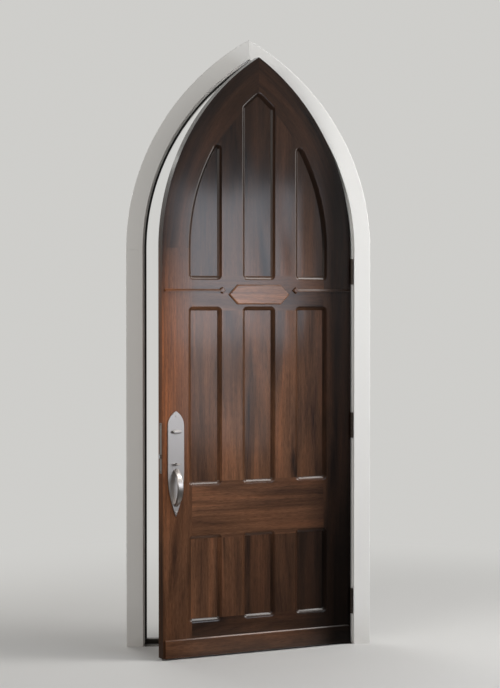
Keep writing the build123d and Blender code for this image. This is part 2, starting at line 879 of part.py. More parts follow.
def build_hinges():
    """Three hinges; returns what the jamb and the stile are cut with."""
    jamb_cuts = []
    stile_cuts = []
    jamb_screws = []
    stile_screws = []
    for number, middle in enumerate(hinge_centres, start=1):
        save(f"frame_hinge_plate_{number}", hinge_half(middle, 0))
        save_leaf(f"leaf_hinge_plate_{number}", hinge_half(middle, 1))
        jamb_cuts += hinge_recess(middle, 0)
        stile_cuts += hinge_recess(middle, 1)
        jamb_screws += hinge_screws(middle, half_opening, 1)
        stile_screws += hinge_screws(middle, half_leaf, -1)
    save("hinge_pins", *[hinge_pin(middle) for middle in hinge_centres])
    save("frame_screws", *jamb_screws, *strike_screws())
    save_leaf("leaf_screws", *stile_screws, *lock_face_screws())
    return jamb_cuts, stile_cuts


os.makedirs("parts", exist_ok=True)
jamb_hinge_cuts, stile_hinge_cuts = build_hinges()
stile_lock_cuts, jamb_strike_cuts = build_lock()
build_frame(jamb_hinge_cuts, jamb_strike_cuts)
build_leaf(stile_hinge_cuts, stile_lock_cuts)
save_leaf("kick_board", kick_board())
save_leaf("rail_beads", rail_bead(), latch_side(rail_bead()))
save_leaf("rail_tablet", rail_tablet())
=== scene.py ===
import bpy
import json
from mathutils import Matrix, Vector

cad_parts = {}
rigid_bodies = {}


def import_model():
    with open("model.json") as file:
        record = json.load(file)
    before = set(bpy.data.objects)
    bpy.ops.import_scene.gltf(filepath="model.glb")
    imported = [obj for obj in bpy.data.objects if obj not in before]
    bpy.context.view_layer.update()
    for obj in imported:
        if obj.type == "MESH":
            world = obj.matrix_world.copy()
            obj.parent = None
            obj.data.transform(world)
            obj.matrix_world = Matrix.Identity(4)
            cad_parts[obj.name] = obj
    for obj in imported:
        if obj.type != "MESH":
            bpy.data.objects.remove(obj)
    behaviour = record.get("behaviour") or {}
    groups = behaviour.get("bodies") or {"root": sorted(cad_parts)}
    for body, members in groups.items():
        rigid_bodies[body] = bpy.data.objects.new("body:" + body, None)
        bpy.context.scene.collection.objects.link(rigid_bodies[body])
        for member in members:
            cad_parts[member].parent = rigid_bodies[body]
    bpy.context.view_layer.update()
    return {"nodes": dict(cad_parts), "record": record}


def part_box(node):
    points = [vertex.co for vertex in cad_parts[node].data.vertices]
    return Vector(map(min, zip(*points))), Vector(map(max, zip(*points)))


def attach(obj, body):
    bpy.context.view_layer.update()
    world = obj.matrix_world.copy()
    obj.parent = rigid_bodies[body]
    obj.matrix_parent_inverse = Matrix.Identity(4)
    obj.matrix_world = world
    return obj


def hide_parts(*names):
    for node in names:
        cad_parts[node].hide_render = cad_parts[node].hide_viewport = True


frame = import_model()

import json
import math

import bpy
from mathutils import Matrix, Vector

bpy.ops.object.select_all(action="DESELECT")


# Viewpoint
# The door is seen from nine and a half metres away on the room side, a little to its left, at eye height.
# A long lens frames the whole of it.

eye = Vector((-0.694, -9.541, 1.772))
aim = Vector((0.0, -0.1, 1.56))
focal_length = 97
sight_limit = 100

bpy.ops.object.camera_add(location=eye, rotation=(aim - eye).to_track_quat("-Z", "Y").to_euler())
camera = bpy.context.object
camera.name = "photo_camera"
camera.data.lens = focal_length
camera.data.clip_end = sight_limit
bpy.context.scene.camera = camera
bpy.context.scene.view_settings.view_transform = "Standard"


# Studio floor
# A pale floor that keeps the door's shadow and fades into an even pale surround.
# Metal and varnish see it turn dark a little way from the door, so that they stay as deep as in the photo.

floor_radius = 30
floor_colour = (0.68, 0.677, 0.668, 1)
backdrop_colour = (0.62, 0.615, 0.595, 1)
mirrored_floor_colour = (0.10, 0.096, 0.09, 1)
fade_starts = 1.2
fade_ends = 4.2
gloom_starts = 0.35
gloom_ends = 0.9


def finish_node(finish, kind, **settings):
    """A node of one kind with its plain settings."""
    node = finish.node_tree.nodes.new(kind)
    for name, value in settings.items():
        setattr(node, name, value)
    return node


def ranged(finish, value, low, high, to_low, to_high):
    """A value stretched from one range to another."""
    span = finish_node(finish, "ShaderNodeMapRange")
    span.inputs["From Min"].default_value = low
    span.inputs["From Max"].default_value = high
    span.inputs["To Min"].default_value = to_low
    span.inputs["To Max"].default_value = to_high
    finish.node_tree.links.new(value, span.inputs["Value"])
    return span.outputs["Result"]


def combined(finish, operation, first, second):
    """Two values, or a value and a number, put together by one sum."""
    sum_node = finish_node(finish, "ShaderNodeMath", operation=operation)
    for socket, value in zip(sum_node.inputs, (first, second)):
        if isinstance(value, (int, float)):
            socket.default_value = value
        else:
            finish.node_tree.links.new(value, socket)
    return sum_node.outputs["Value"]


bpy.ops.mesh.primitive_circle_add(vertices=96, radius=floor_radius, fill_type="NGON", location=(0, 0, 0))
floor = bpy.context.object
floor.name = "studio_floor"
floor_paint = bpy.data.materials.new("pale_floor")
floor_paint.use_nodes = True
links = floor_paint.node_tree.links
floor_shader = floor_paint.node_tree.nodes["Principled BSDF"]
floor_shader.inputs["Base Color"].default_value = floor_colour
floor_shader.inputs["Roughness"].default_value = 0.75
floor_shader.inputs["Specular IOR Level"].default_value = 0.2
place = finish_node(floor_paint, "ShaderNodeTexCoord")
from_door = finish_node(floor_paint, "ShaderNodeVectorMath", operation="LENGTH")
links.new(place.outputs["Object"], from_door.inputs[0])

fade = ranged(floor_paint, from_door.outputs["Value"], fade_starts, fade_ends, 0, 1)
fade.node.interpolation_type = "SMOOTHSTEP"
far_glow = finish_node(floor_paint, "ShaderNodeEmission")
far_glow.inputs["Color"].default_value = backdrop_colour
fading = finish_node(floor_paint, "ShaderNodeMixShader")
links.new(fade, fading.inputs["Fac"])
links.new(floor_shader.outputs["BSDF"], fading.inputs[1])
links.new(far_glow.outputs["Emission"], fading.inputs[2])

gloom = ranged(floor_paint, from_door.outputs["Value"], gloom_starts, gloom_ends, 0, 1)
ray = finish_node(floor_paint, "ShaderNodeLightPath")
dim_floor = finish_node(floor_paint, "ShaderNodeEmission")
dim_floor.inputs["Color"].default_value = mirrored_floor_colour
reflected = finish_node(floor_paint, "ShaderNodeMixShader")
links.new(combined(floor_paint, "MULTIPLY", gloom, ray.outputs["Is Glossy Ray"]), reflected.inputs["Fac"])
links.new(fading.outputs["Shader"], reflected.inputs[1])
links.new(dim_floor.outputs["Emission"], reflected.inputs[2])
links.new(reflected.outputs["Shader"], floor_paint.node_tree.nodes["Material Output"].inputs["Surface"])
floor.data.materials.append(floor_paint)


# Pale surround
# An even light falls on the door from all round, and the surround itself looks pale.
# Metal and varnish see it dimmed on the room side and brighter overhead.

surround_colour = (1.0, 0.985, 0.965, 1)
surround_strength = 0.22
dimmed_room_side = 0.25
brightest_overhead = 1.5

surround = bpy.data.worlds.new("pale_surround")
bpy.context.scene.world = surround
surround.use_nodes = True
surround.node_tree.nodes.clear()
links = surround.node_tree.links
soft_light = finish_node(surround, "ShaderNodeBackground")
soft_light.inputs["Color"].default_value = surround_colour
soft_light.inputs["Strength"].default_value = surround_strength

direction = finish_node(surround, "ShaderNodeTexCoord")
heading = finish_node(surround, "ShaderNodeSeparateXYZ")
links.new(direction.outputs["Generated"], heading.inputs["Vector"])
room_side = ranged(surround, heading.outputs["Y"], 0.3, -0.5, 1.0, dimmed_room_side)
overhead = ranged(surround, heading.outputs["Z"], 0.30, 0.85, 0, brightest_overhead)
ray = finish_node(surround, "ShaderNodeLightPath")
mirrored = finish_node(surround, "ShaderNodeMix")
mirrored.inputs["A"].default_value = 1.0
links.new(combined(surround, "MAXIMUM", room_side, overhead), mirrored.inputs["B"])
links.new(ray.outputs["Is Glossy Ray"], mirrored.inputs["Factor"])
seen = finish_node(surround, "ShaderNodeBackground")
seen.inputs["Color"].default_value = backdrop_colour
links.new(mirrored.outputs["Result"], seen.inputs["Strength"])

looked_at = combined(surround, "MAXIMUM", ray.outputs["Is Camera Ray"], ray.outputs["Is Glossy Ray"])
looked_at = combined(surround, "MAXIMUM", looked_at, ray.outputs["Is Transmission Ray"])
choose = finish_node(surround, "ShaderNodeMixShader")
links.new(looked_at, choose.inputs["Fac"])
links.new(soft_light.outputs["Background"], choose.inputs[1])
links.new(seen.outputs["Background"], choose.inputs[2])
surround_output = finish_node(surround, "ShaderNodeOutputWorld")
links.new(choose.outputs["Shader"], surround_output.inputs["Surface"])


# Lamps
# Two soft lamps, one above the other to the right and in front, shine back from the varnish.
# One close to the frame's own plane picks out the casing, and one overhead the ledges and sunk edges.
# Two more light the left side and the outer face.

def soft_lamp(name, where, towards, width, height, power, colour):
    """A rectangular lamp aimed at a point."""
    turn = (Vector(towards) - Vector(where)).to_track_quat("-Z", "Y").to_euler()
    bpy.ops.object.light_add(type="AREA", location=where, rotation=turn)
    lamp = bpy.context.object
    lamp.name = name
    lamp.data.shape = "RECTANGLE"
    lamp.data.size = width
    lamp.data.size_y = height
    lamp.data.energy = power
    lamp.data.color = colour


soft_lamp(
    "high_front_light", where=(3.15, -3.57, 2.06), towards=(-0.25, -0.35, 1.87),
    width=1.7, height=1.15, power=22, colour=(0.80, 0.88, 1.0),
)
soft_lamp(
    "low_front_light", where=(3.02, -3.7, 1.65), towards=(-0.25, -0.35, 1.6),
    width=1.6, height=1.9, power=16, colour=(0.90, 0.93, 1.0),
)
soft_lamp(
    "casing_light", where=(4.2, -1.0, 2.7), towards=(0.0, 0.0, 1.5),
    width=1.6, height=2.4, power=98, colour=(1.0, 0.985, 0.96),
)
soft_lamp(
    "overhead_light", where=(2.75, -0.95, 4.8), towards=(0.2, -0.3, 0.6),
    width=2.3, height=1.3, power=66, colour=(1.0, 0.99, 0.97),
)
soft_lamp(
    "left_light", where=(-3.6, -5.0, 3.4), towards=(0.0, 0.0, 1.5),
    width=3.0, height=2.5, power=80, colour=(1.0, 0.97, 0.93),
)
soft_lamp(
    "outer_face_light", where=(-2.4, 4.6, 3.2), towards=(0.0, 0.0, 1.4),
    width=3.0, height=2.5, power=90, colour=(1.0, 0.99, 0.96),
)


# Stiles and rails
# The leaf's frame is hardwood planks, mortised and tenoned, with rounded mouldings cut on their edges.
# A dark brown stain lies under satin varnish, warmer beside the latch partly from sun fading and partly as
# painted light; painted shade darkens the head and hinge side.

record = frame["record"]
carrier = {node: body for body, names in record["behaviour"]["bodies"].items() for node in names}
swing = next(joint for joint in record["behaviour"]["joints"] if joint["name"] == "door_swing")
pivot = Vector(swing["pos_m"])
ajar = math.radians(-swing["range_deg"][0])
shut_leaf = Matrix.Translation(pivot) @ Matrix.Rotation(-ajar, 4, "Z") @ Matrix.Translation(-pivot)
open_leaf = shut_leaf.inverted()

leaf_thickness = 0.050
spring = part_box("hinge_jamb")[1][2]
half_opening = (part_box("threshold")[1][0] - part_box("threshold")[0][0]) / 2
jamb_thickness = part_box("hinge_jamb")[1][0] - half_opening
arch_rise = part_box("hinge_arch_jamb")[1][2] - spring
arch_radius = (arch_rise**2 + half_opening**2 - jamb_thickness**2) / (2 * (half_opening + jamb_thickness))
arch_centre = arch_radius - half_opening

weld_distance = 0.00001
flat_within = math.radians(0.1)
moulding_starts = 0.002
moulding_ends = 0.015
moulding_swell = 0.0026
moulding_facets = 5
slope_least = 0.78
slope_most = 0.90
member_easing = 0.0011

dark_stain = (0.014, 0.0058, 0.0036, 1)
brown_stain = (0.084, 0.0365, 0.0175, 1)
pale_stain = (0.140, 0.056, 0.026, 1)
sun_faded_and_lit_stain = (0.275, 0.087, 0.029, 1)
latch_edge_band = (-0.34, -0.53)
board_shift_along = 3.7
board_shift_across = 1.3
wave_height = 0.0035
pore_depth = 0.0004


def only(piece):
    """Selects one object alone and makes it the active one."""
    bpy.ops.object.select_all(action="DESELECT")
    piece.select_set(True)
    bpy.context.view_layer.objects.active = piece


def ease_edges(piece, width, steps=2, angle=35):
    """Rounds the edges sharper than an angle by a small width, and shades the faces smooth."""
    only(piece)
    easing = piece.modifiers.new("easing", "BEVEL")
    easing.width = width
    easing.segments = steps
    easing.limit_method = "ANGLE"
    easing.angle_limit = math.radians(angle)
    easing.use_clamp_overlap = True
    easing.harden_normals = True
    bpy.ops.object.shade_smooth()
    bpy.ops.object.modifier_apply(modifier="easing")


def worked_copy(name):
    """A copy of one CAD piece, with its loose triangles merged into faces."""
    only(frame["nodes"][name])
    bpy.ops.object.duplicate()
    piece = bpy.context.object
    piece.name = f"{name}_worked"
    bpy.ops.object.parent_clear(type="CLEAR_KEEP_TRANSFORM")
    bpy.ops.object.mode_set(mode="EDIT")
    bpy.ops.mesh.select_all(action="SELECT")
    bpy.ops.mesh.customdata_custom_splitnormals_clear()
    bpy.ops.mesh.remove_doubles(threshold=weld_distance)
    bpy.ops.mesh.dissolve_limited(angle_limit=flat_within)
    bpy.ops.object.mode_set(mode="OBJECT")
    return piece


def round_moulding(member):
    """Swells the sloping moulded edges of both faces into a quarter round."""
    only(member)
    through = open_leaf.to_3x3() @ Vector((0, 1, 0))
    width = moulding_ends - moulding_starts
    for step in range(1, moulding_facets):
        depth = moulding_starts + width * step / moulding_facets
        for level in (depth, leaf_thickness - depth):
            bpy.ops.object.mode_set(mode="EDIT")
            bpy.ops.mesh.select_all(action="SELECT")
            bpy.ops.mesh.bisect(plane_co=open_leaf @ Vector((0, level, 0)), plane_no=through)
            bpy.ops.object.mode_set(mode="OBJECT")
    sloping = set()
    for face in member.data.polygons:
        if slope_least < abs(face.normal.dot(through)) < slope_most:
            sloping.update(face.vertices)
    for side, outward in (("room_side", -through), ("outer_side", through)):
        swollen = member.vertex_groups.new(name=side)
        for index in sloping:
            depth = (shut_leaf @ member.data.vertices[index].co).y
            if side == "outer_side":
                depth = leaf_thickness - depth
            share = (depth - moulding_starts) / width
            if 0 < share < 1:
                swollen.add([index], 4 * share * (1 - share), "REPLACE")
        for axis in ("X", "Y"):
            swell = member.modifiers.new(side, "DISPLACE")
            swell.direction = axis
            swell.mid_level = 0
            swell.strength = moulding_swell * outward["XY".index(axis)]
            swell.vertex_group = side
            bpy.ops.object.modifier_apply(modifier=side)


def hang_in_place(piece, finish, name):
    """Gives a finished piece its material and lets it stand for its CAD piece."""
    piece.data.materials.clear()
    piece.data.materials.append(finish)
    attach(piece, carrier[name])
    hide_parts(name)


def number_board(piece, board, tone=1.0):
    """Marks which board a piece was cut from, so that no two look alike, and how pale it is."""
    for name, value in (("board", float(board)), ("tone", tone)):
        mark = piece.data.attributes.new(name, "FLOAT", "POINT")
        mark.data.foreach_set("value", [value] * len(piece.data.vertices))


def new_finish(name):
    """An empty material, with its links and its shader."""
    finish = bpy.data.materials.new(name)
    finish.use_nodes = True
    return finish, finish.node_tree.links, finish.node_tree.nodes["Principled BSDF"]


def mapped_place(finish, turned):
    """The point's place as separate X, Y and Z values, with the leaf turned shut where it is asked."""
    links = finish.node_tree.links
    place = finish_node(finish, "ShaderNodeTexCoord")
    parts = finish_node(finish, "ShaderNodeSeparateXYZ")
    if not turned:
        links.new(place.outputs["Object"], parts.inputs["Vector"])
        return parts
    shut = finish_node(finish, "ShaderNodeMapping")
    shut.inputs["Location"].default_value = shut_leaf.translation
    shut.inputs["Rotation"].default_value = (0, 0, -ajar)
    links.new(place.outputs["Object"], shut.inputs["Vector"])
    links.new(shut.outputs["Vector"], parts.inputs["Vector"])
    return parts


def board_space(finish, parts, run):
    """The point's place along, across and through its board, shifted from board to board."""
    along, across = parts.outputs["Z"], parts.outputs["X"]
    if run == "level":
        along, across = across, along
    if run == "arched":
        height = combined(finish, "SUBTRACT", parts.outputs["Z"], spring)
        reach = combined(finish, "ABSOLUTE", parts.outputs["X"], 0)
        reach = combined(finish, "ADD", reach, arch_centre)
        angle = combined(finish, "ARCTAN2", height, reach)
        along = combined(finish, "MULTIPLY", angle, arch_radius)
        height_squared = combined(finish, "POWER", height, 2)
        reach_squared = combined(finish, "POWER", reach, 2)
        across = combined(finish, "SQRT", combined(finish, "ADD", height_squared, reach_squared), 0)
    board = finish_node(finish, "ShaderNodeAttribute", attribute_name="board").outputs["Fac"]
    along = combined(finish, "ADD", along, combined(finish, "MULTIPLY", board, board_shift_along))
    across = combined(finish, "ADD", across, combined(finish, "MULTIPLY", board, board_shift_across))
    joined = finish_node(finish, "ShaderNodeCombineXYZ")
    for axis, value in (("X", along), ("Y", across), ("Z", parts.outputs["Y"])):
        finish.node_tree.links.new(value, joined.inputs[axis])
    return joined.outputs["Vector"]


def drawn_out_noise(finish, vector, scale, detail, distortion=0.0):
    """Noise drawn out along the board."""
    stretch = finish_node(finish, "ShaderNodeMapping")
    stretch.inputs["Scale"].default_value = scale
    noise = finish_node(finish, "ShaderNodeTexNoise")
    noise.inputs["Scale"].default_value = 1.0
    noise.inputs["Detail"].default_value = detail
    noise.inputs["Roughness"].default_value = 0.6
    noise.inputs["Distortion"].default_value = distortion
    finish.node_tree.links.new(vector, stretch.inputs["Vector"])
    finish.node_tree.links.new(stretch.outputs["Vector"], noise.inputs["Vector"])
    return noise.outputs["Fac"]


def stain_colour(wood, parts, grain, streaks):
    """Dark brown stain that follows the figure of the board, warmer beside the latch partly from sun fading
    and partly as painted light.
    """
    figure = drawn_out_noise(wood, grain, scale=(0.9, 10, 10), detail=5, distortion=0.8)
    stain = finish_node(wood, "ShaderNodeValToRGB")
    stain.color_ramp.elements[0].position = 0.30
    stain.color_ramp.elements[0].color = dark_stain
    stain.color_ramp.elements[1].position = 0.70
    stain.color_ramp.elements[1].color = pale_stain
    stain.color_ramp.elements.new(0.50).color = brown_stain
    wood.node_tree.links.new(figure, stain.inputs["Fac"])

    # Warmer beside the latch: partly sun-faded stain and partly painted light.
    beside_latch = ranged(wood, parts.outputs["X"], *latch_edge_band, 0, 1)
    above_knee = ranged(wood, parts.outputs["Z"], 0.55, 1.25, 0, 1)
    below_springing = ranged(wood, parts.outputs["Z"], 2.1, 1.6, 0, 1)
    along_grain = ranged(wood, streaks, 0.35, 0.6, 0.3, 1)
    warmth = combined(wood, "MULTIPLY", above_knee, below_springing)
    warmth = combined(wood, "MULTIPLY", beside_latch, warmth)
    warmth = combined(wood, "MULTIPLY", warmth, along_grain)
    faded_and_lit = finish_node(wood, "ShaderNodeMix", data_type="RGBA", blend_type="MIX")
    faded_and_lit.inputs["B"].default_value = sun_faded_and_lit_stain
    wood.node_tree.links.new(stain.outputs["Color"], faded_and_lit.inputs["A"])
    wood.node_tree.links.new(ranged(wood, warmth, 0, 1, 0, 0.75), faded_and_lit.inputs["Factor"])
    return faded_and_lit.outputs["Result"]


def sunk_depth(wood, parts):
    """How far a point lies below the nearer face of the leaf."""
    from_outer_face = combined(wood, "SUBTRACT", leaf_thickness, parts.outputs["Y"])
    return combined(wood, "MINIMUM", parts.outputs["Y"], from_outer_face)


def stain_strength(wood, parts, grain, streaks, pores, moulded):
    """How pale the stain lies, by the board and its grain; darker towards the foot, with painted shade at
    the head, by the hinges, in the lower hinge corner and in the mouldings, and painted light beside the
    latch.
    """
    sideways, height = parts.outputs["X"], parts.outputs["Z"]
    blotches = drawn_out_noise(wood, grain, scale=(1.2, 3.5, 3.5), detail=3)
    streaked = ranged(wood, streaks, 0.25, 0.75, 0.72, 1.26)
    pored = ranged(wood, pores, 0.38, 0.55, 0.60, 1.0)
    blotched = ranged(wood, blotches, 0.3, 0.7, 0.72, 1.22)
    at_foot = ranged(wood, height, 0.0, 0.7, 0.62, 1.0)
    # Painted shade: darker at the head.
    painted_head_shade = ranged(wood, height, 1.7, 2.4, 1.12, 0.30)
    # Painted light: paler on the latch side.
    painted_latch_light = ranged(wood, sideways, -0.35, 0.20, 1.28, 0.92)
    # Painted shade: darker by the hinges.
    painted_hinge_shade = ranged(wood, sideways, 0.26, 0.44, 1.0, 0.14)
    # Painted shade: darker in the lower corner on the hinge side.
    hinge_half = ranged(wood, sideways, 0.0, 0.38, 0, 1)
    below_lock = ranged(wood, height, 1.0, 0.5, 0, 1)
    lower_corner = combined(wood, "MULTIPLY", hinge_half, below_lock)
    painted_corner_shade = ranged(wood, lower_corner, 0, 1, 1.0, 0.38)
    shades = [streaked, pored, blotched, at_foot, painted_head_shade, painted_latch_light, painted_hinge_shade, painted_corner_shade]
    if moulded:
        # Painted shade: darker in the sunk mouldings.
        painted_moulding_shade = ranged(wood, sunk_depth(wood, parts), 0.001, 0.004, 1.0, 0.72)
        shades.append(painted_moulding_shade)
    strength = finish_node(wood, "ShaderNodeAttribute", attribute_name="tone").outputs["Fac"]
    for shade in shades:
        strength = combined(wood, "MULTIPLY", strength, shade)
    return strength


def varnish_cover(wood, parts, moulded):
    """How much varnish shines: little beside the latch and the hinges, and on upright moulded slopes."""
    beside_latch = ranged(wood, parts.outputs["X"], *latch_edge_band, 1.0, 0.06)
    beside_hinges = ranged(wood, parts.outputs["X"], 0.33, 0.42, 1.0, 0.08)
    cover = combined(wood, "MULTIPLY", beside_latch, beside_hinges)
    if not moulded:
        return cover
    facing = finish_node(wood, "ShaderNodeNewGeometry")
    tilt = finish_node(wood, "ShaderNodeSeparateXYZ")
    wood.node_tree.links.new(facing.outputs["Normal"], tilt.inputs["Vector"])
    upward = combined(wood, "ABSOLUTE", tilt.outputs["Z"], 0)
    on_slope = ranged(wood, sunk_depth(wood, parts), 0.001, 0.003, 0, 1)
    dulled = combined(wood, "MULTIPLY", on_slope, ranged(wood, upward, 0.1, 0.4, 0.7, 0))
    return combined(wood, "MULTIPLY", cover, combined(wood, "SUBTRACT", 1, dulled))


def stained_wood(name, run, moulded=True):
    """Open-pored hardwood under dark stain and satin varnish, its grain running one way."""
    wood, links, shader = new_finish(name)
    parts = mapped_place(wood, True)
    grain = board_space(wood, parts, run)
    streaks = drawn_out_noise(wood, grain, scale=(2.4, 85, 85), detail=4)
    pores = drawn_out_noise(wood, grain, scale=(26, 600, 600), detail=2)
    waves = drawn_out_noise(wood, grain, scale=(1.6, 5, 5), detail=1)

    toned = finish_node(wood, "ShaderNodeVectorMath", operation="SCALE")
    links.new(stain_colour(wood, parts, grain, streaks), toned.inputs[0])
    links.new(stain_strength(wood, parts, grain, streaks, pores, moulded), toned.inputs["Scale"])
    links.new(toned.outputs["Vector"], shader.inputs["Base Color"])
    links.new(ranged(wood, streaks, 0.3, 0.7, 0.30, 0.42), shader.inputs["Roughness"])
    shader.inputs["Specular IOR Level"].default_value = 0.08
    shader.inputs["Coat IOR"].default_value = 1.4
    shader.inputs["Coat Roughness"].default_value = 0.13
    links.new(varnish_cover(wood, parts, moulded), shader.inputs["Coat Weight"])

    uneven = finish_node(wood, "ShaderNodeBump")
    uneven.inputs["Strength"].default_value = 1.0
    uneven.inputs["Distance"].default_value = wave_height
    links.new(waves, uneven.inputs["Height"])
    relief = finish_node(wood, "ShaderNodeBump")
    relief.inputs["Strength"].default_value = 0.35
    relief.inputs["Distance"].default_value = pore_depth
    links.new(combined(wood, "MULTIPLY", streaks, pores), relief.inputs["Height"])
    links.new(uneven.outputs["Normal"], relief.inputs["Normal"])
    links.new(relief.outputs["Normal"], shader.inputs["Normal"])
    links.new(uneven.outputs["Normal"], shader.inputs["Coat Normal"])
    return wood


member_wood = {run: stained_wood(f"stained_wood_{run}", run) for run in ("upright", "level", "arched")}
run_and_tone = {
    "hinge_stile": ("upright", 1.0),
    "latch_stile": ("upright", 1.0),
    "hinge_arch_stile": ("arched", 1.0),
    "latch_arch_stile": ("arched", 0.8),
    "bottom_rail": ("level", 0.8),
    "lock_rail": ("level", 1.25),
    "upper_rail": ("level", 1.2),
    "lower_latch_muntin": ("upright", 1.1),
    "lower_hinge_muntin": ("upright", 1.0),
    "centre_latch_muntin": ("upright", 1.4),
    "centre_hinge_muntin": ("upright", 1.2),
    "upper_latch_muntin": ("upright", 1.0),
    "upper_hinge_muntin": ("upright", 1.3),
}
for board, (name, (run, tone)) in enumerate(run_and_tone.items(), start=1):
    member = worked_copy(name)
    round_moulding(member)
    ease_edges(member, member_easing)
    number_board(member, board, tone)
    hang_in_place(member, member_wood[run], name)


# Tongues inside the arch joints
# Loose hardwood splines hold the curved pieces to the stiles and to each other.
# They are glued in and don't show, so they only take the wood's finish.

spline_board = 41

for name in ("arch_splines", "jamb_splines"):
    spline = worked_copy(name)
    number_board(spline, spline_board)
    hang_in_place(spline, member_wood["upright"], name)


# Sunk panels
# Nine flat boards float in grooves behind the mouldings, thinner than the members round them.
# They take the same stain and varnish, and come from boards that are not equally pale.

first_panel_board = 20
panel_smoothing = math.radians(30)
panel_tones = {
    "lower_latch_panel": 1.4,
    "lower_middle_panel": 0.75,
    "lower_hinge_panel": 0.65,
    "centre_latch_panel": 1.1,
    "centre_middle_panel": 1.1,
    "centre_hinge_panel": 1.1,
    "upper_latch_panel": 0.8,
    "upper_middle_panel": 1.1,
    "upper_hinge_panel": 1.3,
}

panel_wood = stained_wood("stained_wood_panel", "upright", moulded=False)
for board, (name, tone) in enumerate(panel_tones.items(), start=first_panel_board):
    panel = worked_copy(name)
    bpy.ops.object.shade_smooth_by_angle(angle=panel_smoothing)
    number_board(panel, board, tone)
    hang_in_place(panel, panel_wood, name)


# Trim planted on the room side
# A kick board across the foot, a ledge bead either side of the upper rail, and a pointed tablet.
# They are glued and pinned on, with their front edges eased.

first_trim_board = 30
trim_easing = 0.0012
# The kick board's high tone is partly a painted reflection of the floor.
trim_tones = {"kick_board": 1.6, "rail_beads": 1.5, "rail_tablet": 3.4}

for board, (name, tone) in enumerate(trim_tones.items(), start=first_trim_board):
    trim = worked_copy(name)
    ease_edges(trim, trim_easing)
    number_board(trim, board, tone)
    hang_in_place(trim, member_wood["level"], name)


# Jambs and casing
# Painted softwood: rebated jambs with the stop in one piece, and a casing thickest beside the opening.
# The off-white satin paint shows faint brush marks along each board, and dust near its foot.

paint_colour = (0.755, 0.748, 0.730, 1)
dust_colour = (0.43, 0.40, 0.36, 1)
dust_height = 0.22
brush_mark_depth = 0.0002
frame_easing = 0.0009


def satin_paint(name, run):
    """Off-white satin paint, brushed along the boards, with dust near their foot."""
    paint, links, shader = new_finish(name)
    parts = mapped_place(paint, False)
    grain = board_space(paint, parts, run)
    marks = finish_node(paint, "ShaderNodeBump")
    marks.inputs["Strength"].default_value = 0.25
    marks.inputs["Distance"].default_value = brush_mark_depth
    links.new(drawn_out_noise(paint, grain, scale=(4, 90, 90), detail=2), marks.inputs["Height"])
    links.new(marks.outputs["Normal"], shader.inputs["Normal"])

    near_foot = ranged(paint, parts.outputs["Z"], 0.0, dust_height, 0.55, 0.0)
    clouds = drawn_out_noise(paint, grain, scale=(9, 9, 9), detail=4)
    colour = finish_node(paint, "ShaderNodeMix", data_type="RGBA")
    colour.inputs["A"].default_value = paint_colour
    colour.inputs["B"].default_value = dust_colour
    links.new(combined(paint, "MULTIPLY", near_foot, clouds), colour.inputs["Factor"])
    links.new(colour.outputs["Result"], shader.inputs["Base Color"])
    shader.inputs["Roughness"].default_value = 0.42
    shader.inputs["Specular IOR Level"].default_value = 0.4
    return paint


frame_paint = {run: satin_paint(f"off_white_paint_{run}", run) for run in ("upright", "arched")}
frame_boards = {
    "hinge_jamb": "upright",
    "latch_jamb": "upright",
    "hinge_arch_jamb": "arched",
    "latch_arch_jamb": "arched",
    "hinge_casing": "upright",
    "latch_casing": "upright",
    "hinge_arch_casing": "arched",
    "latch_arch_casing": "arched",
}
for board, (name, run) in enumerate(frame_boards.items(), start=1):
    member = worked_copy(name)
    ease_edges(member, frame_easing)
    number_board(member, board)
    hang_in_place(member, frame_paint[run], name)


# Sill
# An extruded metal sill under the leaf, with a raised weather step and a fall to the outside.
# It is dark bronze anodised, dulled by feet.

sill_colour = (0.050, 0.043, 0.036)
sill_easing = 0.0008


def plain_finish(name, colour, roughness, metallic=0.0, cloudiness=0.08, cloud_scale=14):
    """An even finish whose roughness varies in soft clouds."""
    finish, links, shader = new_finish(name)
    shader.inputs["Base Color"].default_value = (*colour, 1)
    shader.inputs["Metallic"].default_value = metallic
    place = finish_node(finish, "ShaderNodeTexCoord")
    clouds = finish_node(finish, "ShaderNodeTexNoise")
    clouds.inputs["Scale"].default_value = cloud_scale
    clouds.inputs["Detail"].default_value = 4
    links.new(place.outputs["Object"], clouds.inputs["Vector"])
    smoothest = roughness - cloudiness
    roughest = roughness + cloudiness
    clouded = ranged(finish, clouds.outputs["Fac"], 0.3, 0.7, smoothest, roughest)
    links.new(clouded, shader.inputs["Roughness"])
    return finish


sill = worked_copy("threshold")
ease_edges(sill, sill_easing)
hang_in_place(sill, plain_finish("bronze_anodised", sill_colour, 0.42, metallic=0.8), "threshold")


# Weather seals
# Black rubber strips pressed into a kerf in the stop, which the shut leaf squeezes.
# They run from the sill round the whole arch.

rubber_colour = (0.022, 0.023, 0.022)
seal_easing = 0.0004

seals = worked_copy("weather_seals")
ease_edges(seals, seal_easing)
hang_in_place(seals, plain_finish("black_rubber", rubber_colour, 0.68), "weather_seals")


# Butt hinges
# Three five-knuckle hinges of dark oiled bronze, let into the jamb and the stile.
# Each turns on a loose pin with a button head.

bronze_colour = (0.070, 0.056, 0.046)
hinge_plate_easing = 0.0003
pin_easing = 0.0004

bronze = plain_finish("dark_bronze", bronze_colour, 0.38, metallic=0.9, cloudiness=0.10, cloud_scale=60)
for number in (1, 2, 3):
    for half in ("frame", "leaf"):
        name = f"{half}_hinge_plate_{number}"
        plate = worked_copy(name)
        ease_edges(plate, hinge_plate_easing, angle=50)
        hang_in_place(plate, bronze, name)
pins = worked_copy("hinge_pins")
ease_edges(pins, pin_easing, angle=40)
hang_in_place(pins, bronze, "hinge_pins")


